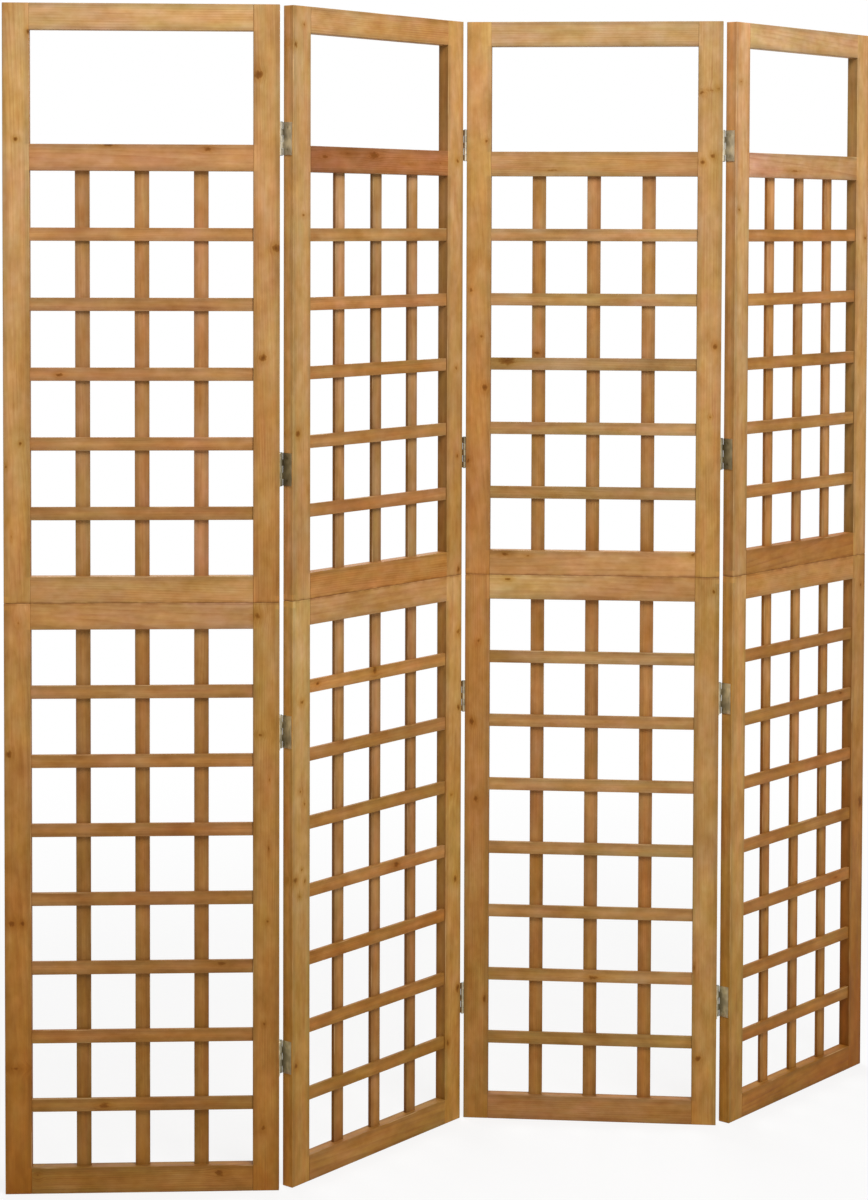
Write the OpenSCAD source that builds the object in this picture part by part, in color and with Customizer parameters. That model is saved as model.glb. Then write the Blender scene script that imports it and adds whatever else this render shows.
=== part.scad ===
// Four-panel folding trellis screen of stained softwood.
// Each panel is two frames, one standing on the other: mortised stiles and rails around a
// lattice of flat slats, with an open window at the top of the upper frame. Butt hinges on the
// stile edges let the panels fold like a concertina.
// Millimetres. +Z is up, +X runs along the row of panels and the front faces -Y.
// Rest pose: the zigzag in which the screen stands.

/* [Panels] */
// Width of one panel
panel_w = 414; // [320:1:600]
// Height of one frame; a panel is two frames high
frame_h = 900; // [760:5:1100]
// Thickness of the frame members, front to back
panel_t = 20; // [19:0.5:30]
// Width of the upright frame members, seen from the front
stile_w = 40; // [34:1:60]
// Height of the cross members of the frame
rail_h = 40; // [34:1:60]
// Radius of the eased edges of stiles and rails
arris_r = 1.2; // [0.5:0.1:2]

/* [Lattice] */
// Height of the open window in the upper frame
window_h = 170; // [100:5:260]
// Upright slats in each lattice
upright_count = 3; // [2:1:5]
// Width of an upright slat
upright_w = 22; // [14:0.5:26]
// Cross slats in the upper lattice
upper_cross_count = 5; // [3:1:6]
// Cross slats in the lower lattice
lower_cross_count = 7; // [4:1:8]
// Width of a cross slat
cross_w = 20; // [14:0.5:26]
// Thickness of every slat
slat_t = 6; // [4:0.5:8.5]
// Distance from the front of the frame to the front of the cross slats
slat_setback = 2.5; // [0.5:0.5:3]
// Radius of the eased edges of the slats
slat_arris_r = 0.8; // [0.3:0.1:1.5]

/* [Joinery] */
// Depth to which a slat end is housed in the frame
housing_d = 6; // [4:0.5:10]
// Length of a rail's tenon
tenon_l = 22; // [14:1:24]
// Thickness of a rail's tenon
tenon_t = 8; // [6:0.5:9]
// Shoulder above and below a rail's tenon
tenon_shoulder = 6; // [4:0.5:10]
// Radius of the dowels across the seam between the two frames
dowel_r = 4; // [3:0.25:5]
// Length of those dowels
dowel_l = 36; // [24:1:50]
// Distance from a stile to the nearer dowel
dowel_inset = 50; // [30:1:90]
// Clearance on each side of a slat end, tenon or dowel
wood_fit = 0.1; // [0.05:0.05:0.2]

/* [Hinges] */
// Distance from a frame's end to the middle of its hinge
hinge_inset = 200; // [120:5:300]
// Height of a hinge
hinge_h = 50; // [40:1:76]
// Width of a hinge leaf across the stile's edge
leaf_w = 17; // [14:0.5:17.5]
// Thickness of a hinge leaf
leaf_t = 1.2; // [0.8:0.1:1.6]
// Distance by which a leaf's flat plate stops short of the panel's face, to clear the knuckles
leaf_setback = 0.5; // [0.3:0.1:1]
// Gap between two panels when the screen is laid flat
hinge_gap = 4; // [3.4:0.1:6]
// Distance from the face of a panel out to the hinge pin's axis
pin_reach = 2.5; // [2.5:0.1:4]
// Outer radius of a knuckle
knuckle_r = 2.5; // [2.1:0.1:2.5]
// Number of knuckles on one hinge
knuckle_count = 5; // [3:2:7]
// Gap between neighbouring knuckles
knuckle_gap = 0.3; // [0.2:0.05:0.5]
// Radius of the hinge pin
pin_r = 1.25; // [1:0.05:1.5]
// Running clearance around the pin
pin_play = 0.05; // [0.02:0.01:0.1]
// Radius of the pin's domed head
pin_head_r = 2; // [1.8:0.1:2.4]
// Thickness of the pin's head
pin_head_t = 0.8; // [0.4:0.1:1.2]

/* [Screws] */
// Distance between the two screws of a leaf
screw_pitch = 34; // [24:1:40]
// Radius of a screw's shank
screw_r = 1.4; // [1.2:0.05:1.6]
// Radius of a screw's countersunk head
screw_head_r = 2.5; // [2.2:0.05:2.8]
// Length of a screw
screw_l = 14; // [10:0.5:16]
// Length of a screw's point
screw_point_l = 3; // [2:0.5:5]
// Clearance around a screw in its leaf and in the wood
screw_fit = 0.1; // [0.05:0.05:0.15]
// Width of one arm of the cross recess in a screw's head
recess_w = 0.7; // [0.5:0.05:0.8]
// Length of the cross recess from arm to arm
recess_l = 2.8; // [2:0.1:3.2]
// Depth of the cross recess
recess_d = 0.6; // [0.4:0.05:0.8]

/* [Standing pose] */
// Angle by which the first hinge line is bent away from flat
bend_angle_12 = 48.4; // [20:0.1:80]
// Angle by which the second hinge line is bent away from flat
bend_angle_23 = 56.2; // [20:0.1:80]
// Angle by which the third hinge line is bent away from flat
bend_angle_34 = 54.9; // [20:0.1:80]

/* [Colours] */
// Stiles
stile_colour = "#c18f52";
// Rails
rail_colour = "#b98a4e";
// Upright slats
upright_colour = "#a8743c";
// Cross slats
cross_colour = "#bd8848";
// Dowels
dowel_colour = "#d9b98a";
// Hinge leaves
leaf_colour = "#8d8c88";
// Pins and screws
steel_colour = "#a5a5a3";

/* [Hidden] */
// Margin by which a cutting solid passes the surface that it opens
cut = 1;
panel_ids = [1, 2, 3, 4];
joint_ids = [12, 23, 34];
panel_kinds = [
    "upper_left_stile", "upper_right_stile", "lower_left_stile", "lower_right_stile",
    "top_rail", "window_rail", "seam_rail_upper", "seam_rail_lower", "bottom_rail",
    "upright_slats", "cross_slats", "seam_dowels", "hinge_leaves", "hinge_screws",
];

panel_h = 2 * frame_h;
opening_w = panel_w - 2 * stile_w;
// Lower edges of the rails, from the floor up
bottom_rail_z = 0;
seam_lower_z = frame_h - rail_h;
seam_upper_z = frame_h;
top_rail_z = panel_h - rail_h;
window_rail_z = top_rail_z - window_h - rail_h;
// Each lattice runs from the rail under it to the rail over it
lower_lattice = [bottom_rail_z + rail_h, seam_lower_z];
upper_lattice = [seam_upper_z + rail_h, window_rail_z];

// Depths of the two layers of slats, measured from the front face
cross_y = slat_setback;
upright_y = cross_y + slat_t;

// Lower edges of evenly spaced slats between two levels
function spaced(span, count, size) =
    let (gap = (span[1] - span[0] - count * size) / (count + 1))
    [for (k = [1 : count]) span[0] + k * gap + (k - 1) * size];

lower_cross_z = spaced(lower_lattice, lower_cross_count, cross_w);
upper_cross_z = spaced(upper_lattice, upper_cross_count, cross_w);
upright_x = spaced([stile_w, stile_w + opening_w], upright_count, upright_w);

// Hinge centres, two on each frame
lower_hinge_z = [hinge_inset, frame_h - hinge_inset];
upper_hinge_z = [frame_h + hinge_inset, panel_h - hinge_inset];
hinge_z = concat(lower_hinge_z, upper_hinge_z);
knuckle_h = hinge_h / knuckle_count;
screw_y = leaf_setback + leaf_w / 2;
bore_r = pin_r + pin_play;

// The first and third hinge lines have their pins behind the panels, the second in front
function pin_behind(j) = j != 23;

// Plan of the row: headings of the panels with the first one along +X
bends = [
    0,
    bend_angle_12,
    bend_angle_12 - bend_angle_23,
    bend_angle_12 - bend_angle_23 + bend_angle_34,
];
function turned(v, a) = [v[0] * cos(a) - v[1] * sin(a), v[0] * sin(a) + v[1] * cos(a)];
function pin_depth(j) = pin_behind(j) ? panel_t + pin_reach : -pin_reach;
// A hinge line's pin, in the plan of the panel at its left and of the panel at its right
function pin_from_left(j) = [panel_w + hinge_gap / 2, pin_depth(j)];
function pin_from_right(j) = [-hinge_gap / 2, pin_depth(j)];
// Front left corner of panel i, counted from 0
function chain(i) =
    i == 0
        ? [0, 0]
        : chain(i - 1)
            + turned(pin_from_left(joint_ids[i - 1]), bends[i - 1])
            - turned(pin_from_right(joint_ids[i - 1]), bends[i]);
// The row runs along +X from its first outer edge to its last
far_corner = chain(3) + turned([panel_w, 0], bends[3]);
row_turn = -atan2(far_corner[1], far_corner[0]);
headings = [for (b = bends) b + row_turn];
// Centres of the rounded corners of all panels, which bound the row's plan
inset_x = [arris_r, panel_w - arris_r];
inset_y = [arris_r, panel_t - arris_r];
plan = [
    for (i = [0 : 3], x = inset_x, y = inset_y)
        turned(chain(i), row_turn) + turned([x, y], headings[i])
];
row_centre = [for (axis = [0, 1])
    (min([for (q = plan) q[axis]]) + max([for (q = plan) q[axis]])) / 2];
corners = [for (i = [0 : 3]) turned(chain(i), row_turn) - row_centre];
function pin_plan(k) = corners[k] + turned(pin_from_left(joint_ids[k]), headings[k]);

echo(headings = headings);
echo(corners = corners);
echo(pins = [for (k = [0 : 2]) pin_plan(k)]);

// ---- shapes that repeat ----

// Rectangle with rounded corners, its lower left corner at the origin
module eased_section(w, h, r) {
    translate([r, 0]) square([w - 2 * r, h]);
    translate([0, r]) square([w, h - 2 * r]);
    for (x = [r, w - r], y = [r, h - r])
        translate([x, y]) circle(r, $fn = 24);
}

// A board with every edge eased, its ends too
module eased_board(w, t, h, r) {
    intersection() {
        linear_extrude(h) eased_section(w, t, r);
        rotate([90, 0, 90]) linear_extrude(w) eased_section(t, h, r);
        translate([0, t, 0]) rotate([90, 0, 0]) linear_extrude(t) eased_section(w, h, r);
    }
}

// A board that stands along Z
module board_z(w, t, h, r) {
    linear_extrude(h) eased_section(w, t, r);
}

// A board that lies along X
module board_x(l, t, h, r) {
    rotate([90, 0, 90]) linear_extrude(l) eased_section(t, h, r);
}

// Draws a left-hand member as its right-hand twin
module right_hand() {
    translate([panel_w, 0, 0]) mirror([1, 0, 0]) children();
}

// Puts a member drawn in its panel's own frame into the row; p counts from 1
module in_panel(p) {
    translate([corners[p - 1][0], corners[p - 1][1], 0])
        rotate([0, 0, headings[p - 1]]) children();
}

// The two hinge lines that a panel may carry: on its left edge and on its right edge
function left_joint(p) = p == 1 ? 0 : joint_ids[p - 2];
function right_joint(p) = p == 4 ? 0 : joint_ids[p - 1];

// Turns a hinge drawn with its pin in front into one with its pin behind
module pin_side(j) {
    if (pin_behind(j))
        translate([0, panel_t, 0]) mirror([0, 1, 0]) children();
    else
        children();
}

// ---- frame members ----

// Left-hand stile standing at z, with its rails, cross slats and hinge line (0 for none)
module stile(z, rails, slats, hinges, j) {
    difference() {
        translate([0, 0, z]) eased_board(stile_w, panel_t, frame_h, arris_r);
        for (rail_z = rails) mortise(rail_z);
        for (slat_z = slats) stile_housing(slat_z);
        if (j > 0)
            pin_side(j)
                for (h = hinges, s = [-1, 1])
                    translate([0, screw_y, h + s * screw_pitch / 2]) screw_hole();
    }
}

module mortise(rail_z) {
    translate([
        stile_w - tenon_l - wood_fit,
        (panel_t - tenon_t) / 2 - wood_fit,
        rail_z + tenon_shoulder - wood_fit,
    ])
        cube([
            tenon_l + wood_fit + cut,
            tenon_t + 2 * wood_fit,
            rail_h - 2 * tenon_shoulder + 2 * wood_fit,
        ]);
}

module stile_housing(slat_z) {
    translate([stile_w - housing_d - wood_fit, cross_y - wood_fit, slat_z - wood_fit])
        cube([
            housing_d + wood_fit + cut,
            slat_t + 2 * wood_fit,
            cross_w + 2 * wood_fit,
        ]);
}

// Pilot hole into a left-hand stile's outer edge
module screw_hole() {
    rotate([0, 90, 0])
        translate([0, 0, -cut])
            cylinder(r = screw_r + screw_fit, h = screw_l + cut, $fn = 24);
}

// Rail whose lower edge is at z; under and over say where upright slats are housed
module rail(z, under, over) {
    difference() {
        union() {
            translate([stile_w, 0, z]) board_x(opening_w, panel_t, rail_h, arris_r);
            translate([
                stile_w - tenon_l,
                (panel_t - tenon_t) / 2,
                z + tenon_shoulder,
            ])
                cube([opening_w + 2 * tenon_l, tenon_t, rail_h - 2 * tenon_shoulder]);
        }
        if (under)
            for (x = upright_x) rail_housing(x, z - cut);
        if (over)
            for (x = upright_x) rail_housing(x, z + rail_h - housing_d - wood_fit);
    }
}

module rail_housing(x, z) {
    translate([x - wood_fit, upright_y - wood_fit, z])
        cube([
            upright_w + 2 * wood_fit,
            slat_t + 2 * wood_fit,
            housing_d + wood_fit + cut,
        ]);
}

// Both dowels of a seam, or with grow the holes that take them
module dowel_pair(grow) {
    for (x = [stile_w + dowel_inset, panel_w - stile_w - dowel_inset])
        translate([x, panel_t / 2, frame_h - dowel_l / 2 - grow])
            cylinder(r = dowel_r + grow, h = dowel_l + 2 * grow, $fn = 32);
}

// The standing slats of both lattices, behind the cross slats
module upright_slats() {
    color(upright_colour)
        for (span = [lower_lattice, upper_lattice], x = upright_x)
            translate([x, upright_y, span[0] - housing_d])
                board_z(upright_w, slat_t, span[1] - span[0] + 2 * housing_d, slat_arris_r);
}

// The lying slats of both lattices
module cross_slats() {
    color(cross_colour)
        for (z = concat(lower_cross_z, upper_cross_z))
            translate([stile_w - housing_d, cross_y, z])
                board_x(opening_w + 2 * housing_d, slat_t, cross_w, slat_arris_r);
}

module seam_dowels() {
    color(dowel_colour) dowel_pair(0);
}

// ---- hinges, drawn on a left-hand edge with the pin in front ----

// Knuckles of a leaf: a left panel's leaf has the odd ones, a right panel's the even ones
module knuckles(odd, centre_z) {
    for (k = [0 : knuckle_count - 1])
        if ((k % 2 == 0) == odd)
            translate([0, 0, centre_z - hinge_h / 2 + k * knuckle_h + knuckle_gap / 2]) {
                length = knuckle_h - knuckle_gap;
                translate([-hinge_gap / 2, -pin_reach, 0])
                    cylinder(r = knuckle_r, h = length, $fn = 48);
                translate([-leaf_t, -pin_reach, 0])
                    cube([leaf_t, pin_reach + leaf_setback + cut, length]);
            }
}

module leaf(odd, centre_z) {
    difference() {
        union() {
            translate([-leaf_t, leaf_setback, centre_z - hinge_h / 2])
                cube([leaf_t, leaf_w, hinge_h]);
            knuckles(odd, centre_z);
        }
        translate([-hinge_gap / 2, -pin_reach, centre_z - hinge_h / 2 - cut])
            cylinder(r = bore_r, h = hinge_h + 2 * cut, $fn = 48);
        for (s = [-1, 1])
            translate([-leaf_t, screw_y, centre_z + s * screw_pitch / 2])
                countersink();
    }
}

// Hole for a screw through a leaf, from the leaf's outer face inwards
module countersink() {
    rotate([0, 90, 0]) {
        translate([0, 0, -cut]) cylinder(r = screw_r + screw_fit, h = leaf_t + 2 * cut, $fn = 24);
        translate([0, 0, -screw_fit])
            cylinder(
                r1 = screw_head_r + 2 * screw_fit,
                r2 = screw_r + screw_fit,
                h = screw_head_r - screw_r + screw_fit,
                $fn = 24
            );
    }
}

// Countersunk cross-head screw, its head flush with the leaf and its point in the wood
module screw() {
    neck_h = screw_head_r - screw_r;
    rotate([0, 90, 0])
        difference() {
            union() {
                cylinder(r1 = screw_head_r, r2 = screw_r, h = neck_h, $fn = 24);
                translate([0, 0, neck_h])
                    cylinder(r = screw_r, h = screw_l - neck_h - screw_point_l, $fn = 24);
                translate([0, 0, screw_l - screw_point_l])
                    cylinder(r1 = screw_r, r2 = 0, h = screw_point_l, $fn = 24);
            }
            for (a = [0, 90])
                rotate([0, 0, a])
                    translate([-recess_l / 2, -recess_w / 2, -cut])
                        cube([recess_l, recess_w, recess_d + cut]);
        }
}

// The leaves on both edges of panel p
module hinge_leaves(p) {
    color(leaf_colour) {
        if (left_joint(p) > 0)
            pin_side(left_joint(p))
                for (z = hinge_z) leaf(false, z);
        if (right_joint(p) > 0)
            right_hand() pin_side(right_joint(p))
                for (z = hinge_z) leaf(true, z);
    }
}

module edge_screws() {
    for (z = hinge_z, s = [-1, 1])
        translate([-leaf_t, screw_y, z + s * screw_pitch / 2]) screw();
}

// The screws in the leaves of panel p
module hinge_screws(p) {
    color(steel_colour) {
        if (left_joint(p) > 0) pin_side(left_joint(p)) edge_screws();
        if (right_joint(p) > 0) right_hand() pin_side(right_joint(p)) edge_screws();
    }
}

// Headed pins of one hinge line, drawn in the frame of the panel at its left
module hinge_pins(j) {
    at = pin_from_left(j);
    color(steel_colour)
        for (z = hinge_z)
            translate([at[0], at[1], z - hinge_h / 2]) {
                cylinder(r = pin_r, h = hinge_h, $fn = 32);
                translate([0, 0, hinge_h])
                    cylinder(r = pin_head_r, h = pin_head_t, $fn = 32);
                translate([0, 0, -pin_head_t])
                    cylinder(r = pin_head_r, h = pin_head_t, $fn = 32);
            }
}

// ---- the pieces of one panel ----

module upper_left_stile(p) {
    color(stile_colour)
        stile(frame_h, [top_rail_z, window_rail_z, seam_upper_z], upper_cross_z,
            upper_hinge_z, left_joint(p));
}

module upper_right_stile(p) {
    color(stile_colour)
        right_hand()
            stile(frame_h, [top_rail_z, window_rail_z, seam_upper_z], upper_cross_z,
                upper_hinge_z, right_joint(p));
}

module lower_left_stile(p) {
    color(stile_colour)
        stile(0, [bottom_rail_z, seam_lower_z], lower_cross_z, lower_hinge_z, left_joint(p));
}

module lower_right_stile(p) {
    color(stile_colour)
        right_hand()
            stile(0, [bottom_rail_z, seam_lower_z], lower_cross_z, lower_hinge_z,
                right_joint(p));
}

module top_rail() {
    color(rail_colour) rail(top_rail_z, false, false);
}

module window_rail() {
    color(rail_colour) rail(window_rail_z, true, false);
}

module seam_rail_upper() {
    color(rail_colour)
        difference() {
            rail(seam_upper_z, false, true);
            dowel_pair(wood_fit);
        }
}

module seam_rail_lower() {
    color(rail_colour)
        difference() {
            rail(seam_lower_z, true, false);
            dowel_pair(wood_fit);
        }
}

module bottom_rail() {
    color(rail_colour) rail(bottom_rail_z, false, true);
}

for (p = panel_ids)
    in_panel(p) {
        upper_left_stile(p);
        upper_right_stile(p);
        lower_left_stile(p);
        lower_right_stile(p);
        top_rail();
        window_rail();
        seam_rail_upper();
        seam_rail_lower();
        bottom_rail();
        upright_slats();
        cross_slats();
        seam_dowels();
        hinge_leaves(p);
        hinge_screws(p);
    }
for (k = [0 : 2])
    in_panel(k + 1)
        hinge_pins(joint_ids[k]);
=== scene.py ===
# %% [markdown]
# # A folding trellis screen in four panels
#
# The real screen is four softwood panels, 1.8 m high, hinged together and stood in a zigzag.
# Each panel is a lower and an upper frame of stiles and rails, filled with a lattice of thin slats.
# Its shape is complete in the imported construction, so this lesson gives every piece its finish:
# stained fir with rings, knots and stain, and zinc-plated butt hinges.

# %% Load the construction
import math
from types import SimpleNamespace

import bpy
import numpy as np
from mathutils import Matrix, Vector


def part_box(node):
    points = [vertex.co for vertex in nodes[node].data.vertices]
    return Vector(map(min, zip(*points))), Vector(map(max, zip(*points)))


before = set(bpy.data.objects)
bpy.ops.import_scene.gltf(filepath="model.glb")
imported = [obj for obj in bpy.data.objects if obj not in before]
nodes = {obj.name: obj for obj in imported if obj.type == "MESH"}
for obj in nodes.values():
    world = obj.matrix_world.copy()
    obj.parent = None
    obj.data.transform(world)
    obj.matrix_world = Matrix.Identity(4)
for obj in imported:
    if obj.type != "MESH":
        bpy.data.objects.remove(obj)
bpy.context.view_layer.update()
print("pieces in the construction:", len(nodes))

# %% [markdown]
# ## Where each panel stands
#
# Grain follows a board, and a board follows its panel, which stands turned in the zigzag.
# A finish could ask each piece for its own axes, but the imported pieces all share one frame.
# So each panel's heading and front corner are worked out once, from its two lower stiles.

# %% Panel places
SCREEN_H = 1.8
FRAME_H = SCREEN_H / 2
STILE_W = 0.040
RAIL_H = 0.040
PANEL_T = 0.020
STILES = ("upper_left_stile", "upper_right_stile", "lower_left_stile", "lower_right_stile")
RAILS = ("top_rail", "window_rail", "seam_rail_upper", "seam_rail_lower", "bottom_rail")


def middle(name):
    """The middle of a piece's box: halfway between its lowest and highest corner."""
    low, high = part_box(name)
    return (low + high) / 2


def panel_place(number):
    """A panel's heading, its front left corner on the floor, and its width.

    The heading is the direction from the left stile's middle to the right one's. The corner is
    half a stile to the left of the left stile's middle, and half a thickness to the front. The
    width is the way between the two middles and one stile more.
    """
    left = middle(f"lower_left_stile_{number}")
    right = middle(f"lower_right_stile_{number}")
    heading = math.atan2(right.y - left.y, right.x - left.x)
    across = Vector((math.cos(heading), math.sin(heading), 0))
    inward = Vector((-math.sin(heading), math.cos(heading), 0))
    corner = left - across * STILE_W / 2 - inward * PANEL_T / 2
    corner.z = 0
    width = (right - left).length + STILE_W
    return heading, corner, width


PANELS = {number: panel_place(number) for number in (1, 2, 3, 4)}
PANEL_W = PANELS[1][2]


def in_panel(name, number):
    """A piece's lowest and highest corner on its panel: across, from the front, and up.

    Its points less the corner, times the cosine and sine of the heading, give those three.
    """
    heading, corner, _ = PANELS[number]
    x, y, z = (np.array([v.co for v in nodes[name].data.vertices]) - corner).T
    turned = np.stack([x * math.cos(heading) + y * math.sin(heading),
                       y * math.cos(heading) - x * math.sin(heading), z])
    return turned.min(axis=1), turned.max(axis=1)


for number, (heading, corner, width) in PANELS.items():
    print(f"panel {number}: heading {math.degrees(heading):.2f}, width {width:.4f} m")

# %% [markdown]
# ## Shader sums written as Python
#
# A wood finish is a sum: rings, plus fibre, minus knots. In the node editor that is dozens of
# Math nodes and wires. Here one small class wraps a socket, so that `1 - knot` makes the node.
# Values use Math nodes. Directions and colours use Vector Math and Mix, because a Math node
# would turn them grey.

# %% Fields and finishes
class Field:
    """A value, direction or colour that changes over a surface: one socket, with arithmetic."""

    def __init__(self, finish, socket):
        self.finish = finish
        self.socket = socket

    def worked(self, operation, first, second):
        """Adds one Math node, or one Vector Math node where either side is a direction."""
        plain = not any(isinstance(side, tuple) or isinstance(side, Field)
                        and side.socket.type != "VALUE" for side in (first, second))
        kind = "ShaderNodeMath" if plain else "ShaderNodeVectorMath"
        return self.finish.node(kind, {"operation": operation}, {0: first, 1: second})

    def __add__(self, other):
        return self.worked("ADD", self, other)

    def __sub__(self, other):
        return self.worked("SUBTRACT", self, other)

    def __rsub__(self, other):
        return self.worked("SUBTRACT", other, self)

    def __mul__(self, other):
        return self.worked("MULTIPLY", self, other)

    def __truediv__(self, other):
        return self.worked("DIVIDE", self, other)

    def __pow__(self, other):
        return self.worked("POWER", self, other)

    __radd__ = __add__
    __rmul__ = __mul__

    def also(self, output):
        """Another output of the node that this field comes from."""
        return Field(self.finish, self.socket.node.outputs[output])


class Finish:
    """The node tree of one finish, or of the world, filled by one method."""

    def __init__(self, owner):
        self.owner = owner
        owner.use_nodes = True
        self.tree = owner.node_tree
        self.tree.nodes.clear()

    def node(self, kind, settings=None, values=None, output=0):
        """Adds a node: its type, its settings first, then its sockets' values or links."""
        made = self.tree.nodes.new(kind)
        for name, value in (settings or {}).items():
            setattr(made, name, value)
        for name, value in (values or {}).items():
            socket = made.inputs[name]
            if isinstance(value, Field):
                self.tree.links.new(value.socket, socket)
            elif isinstance(value, (int, float)) and hasattr(socket.default_value, "__len__"):
                socket.default_value = [value] * len(socket.default_value)
            else:
                socket.default_value = value
        return Field(self, made.outputs[output]) if made.outputs else None


# %% Words for the nodes that come up again
def rgb(red, green, blue):
    """A linear colour as a socket takes it."""
    return (red, green, blue, 1)


def step(field, low, high):
    """0 below low and 1 above high, with a soft rise between: 3t^2 - 2t^3."""
    return field.finish.node("ShaderNodeMapRange", {"interpolation_type": "SMOOTHSTEP"},
                             {"Value": field, "From Min": low, "From Max": high})


def blend(field, first, second):
    """The first colour where the field is 0, the second where it is 1."""
    return field.finish.node("ShaderNodeMix", {"data_type": "RGBA"},
                             {0: field, 6: first, 7: second}, 2)


def tinted(colour, tint, share=1.0):
    """A colour multiplied by a tint, as a stain does."""
    return colour.finish.node("ShaderNodeMix", {"data_type": "RGBA", "blend_type": "MULTIPLY"},
                              {0: share, 6: colour, 7: tint}, 2)


def cloud(place, detail=1.0, rough=0.5, output=0):
    """Soft random values about 0.5, one lump to each unit of the place."""
    return place.finish.node("ShaderNodeTexNoise", {}, {"Vector": place, "Scale": 1.0,
                                                        "Detail": detail, "Roughness": rough},
                             output)


def one(field, operation):
    """A Math node on one value, such as FLOOR, FRACT or EXPONENT."""
    return field.finish.node("ShaderNodeMath", {"operation": operation}, {0: field})


def lesser(first, second):
    """The smaller of two values."""
    return first.worked("MINIMUM", first, second)


def greater(first, second):
    """The larger of two values."""
    return first.worked("MAXIMUM", first, second)


def length(field):
    """The length of a direction."""
    return field.finish.node("ShaderNodeVectorMath", {"operation": "LENGTH"}, {0: field}, "Value")


def joined(x, y, z):
    """A direction from its three parts."""
    finish = next(part.finish for part in (x, y, z) if isinstance(part, Field))
    return finish.node("ShaderNodeCombineXYZ", {}, {0: x, 1: y, 2: z})


def on_panel(finish, number):
    """Places on a panel, in metres: x across from its left edge, y from its front, z up.

    A Mapping node of type TEXTURE takes away the corner and turns back by the heading.
    """
    heading, corner, _ = PANELS[number]
    rest = finish.node("ShaderNodeTexCoord", output="Object")
    return finish.node("ShaderNodeMapping", {"vector_type": "TEXTURE"},
                       {"Vector": rest, "Location": corner, "Rotation": (0, 0, heading)})


# %% [markdown]
# ## Stained fir
#
# A board is a stick cut out of a log. Its rings are cylinders about the log's middle, so the
# lines on its faces are where those cylinders are cut: straight lines when the middle is far to
# the side, and long arches when it is behind the face. The same formula then gives every face
# the right figure, also the arcs on the cut ends, which a picture wrapped round the board can't.
#
# The stain is a honey brown. Towards the feet the wood is darker, partly deeper stain and partly
# painted shade of the light falling off downwards. Each board took the stain in its own way, which
# is why the photograph shows pale, rosy and russet boards side by side.

# %% Colours of the stain
EARLY = rgb(0.503, 0.277, 0.102)
LATE = rgb(0.370, 0.160, 0.050)
HEART = rgb(0.545, 0.258, 0.098)
KNOT = rgb(0.150, 0.048, 0.005)
PLUG_TINT = rgb(0.74, 0.62, 0.40)
HALO_TINT = rgb(0.86, 0.78, 0.58)
# Darker towards the feet: partly deeper stain, partly painted shade of the light falling off
# downwards.
FOOT_STAIN_AND_SHADE = rgb(0.68, 0.60, 0.31)
END_STAIN = rgb(0.55, 0.47, 0.42)
JOINT_STAIN = rgb(0.38, 0.24, 0.16)
# Darker along the free edges of a board.
EDGE_DARKENING = rgb(0.62, 0.68, 0.76)
RUBBED = rgb(0.60, 0.40, 0.20)
# Painted shade on the inner sides of the stiles and the sides of the slats, where the lattice keeps
# the light off.
INNER_SIDE_SHADE = rgb(0.74, 0.64, 0.50)
# A deeper painted shade on the inner side of one stile.
DEEPER_INNER_SHADES = {"upper_right_stile_4": rgb(0.56, 0.54, 0.45)}
TINTS = {
    "honey": rgb(1.00, 1.00, 1.00),
    "tan": rgb(1.00, 1.05, 1.02),
    "cream": rgb(1.07, 1.32, 1.57),
    "pale": rgb(1.07, 1.11, 1.26),
    "light": rgb(1.22, 1.28, 1.31),
    "ivory": rgb(1.24, 1.36, 1.36),
    # glow and ginger are used only on the outer sides of panel 2's left stiles: painted light.
    "glow": rgb(1.43, 1.36, 1.24),
    "ginger": rgb(1.27, 1.13, 0.86),
    "whey": rgb(1.33, 1.48, 1.90),
    "buff": rgb(1.12, 1.13, 1.07),
    "fawn": rgb(1.02, 0.94, 0.76),
    "straw": rgb(0.82, 0.98, 1.13),
    "slate": rgb(0.70, 0.79, 0.87),
    "flax": rgb(0.93, 1.03, 1.14),
    "dun": rgb(0.82, 0.84, 0.85),
    "dusky": rgb(0.95, 0.90, 1.01),
    "mauve": rgb(1.10, 1.13, 1.72),
    "peach": rgb(1.11, 1.05, 0.97),
    "oat": rgb(0.92, 0.94, 0.85),
    "sand": rgb(0.91, 0.97, 1.00),
    "moss": rgb(0.77, 0.85, 0.82),
    "amber": rgb(0.96, 0.87, 0.74),
    "toast": rgb(0.86, 0.77, 0.61),
    "copper": rgb(0.94, 0.75, 0.46),
    "bronze": rgb(0.74, 0.55, 0.28),
    "bark": rgb(0.74, 0.71, 0.58),
    "umber": rgb(0.48, 0.36, 0.36),
    "rust": rgb(0.79, 0.62, 0.58),
    "slat": rgb(0.91, 0.85, 0.86),
    "slat_dark": rgb(0.83, 0.76, 0.67),
    "slat_gold": rgb(0.96, 0.84, 0.67),
    "slat_honey": rgb(1.00, 0.93, 0.83),
    "slat_pale": rgb(1.04, 1.14, 1.38),
    "slat_ash": rgb(0.84, 0.87, 0.94),
    "slat_grey": rgb(0.90, 0.98, 1.06),
    "slat_cool": rgb(0.97, 0.95, 1.12),
}
FOOT_FALL = 1.25
print("named tints:", len(TINTS))


def stained(colour, up, tint):
    """The board's own tint, and the darker colour towards the feet: deeper stain and painted shade.

    The share of the foot darkening is one minus the height's share, raised to FOOT_FALL.
    """
    foot = (1 - up / SCREEN_H) ** FOOT_FALL
    # Deeper stain and painted shade towards the feet.
    return tinted(tinted(colour, tint), FOOT_STAIN_AND_SHADE, foot)


# %% Rings of the log
WANDER_LUMPS = (9, 9, 1.4)
WANDER = (0.020, 0.020, 0)
LATE_SPAN = (0.30, 0.90)
WINTER_SPAN = (0.92, 1.0)


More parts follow.
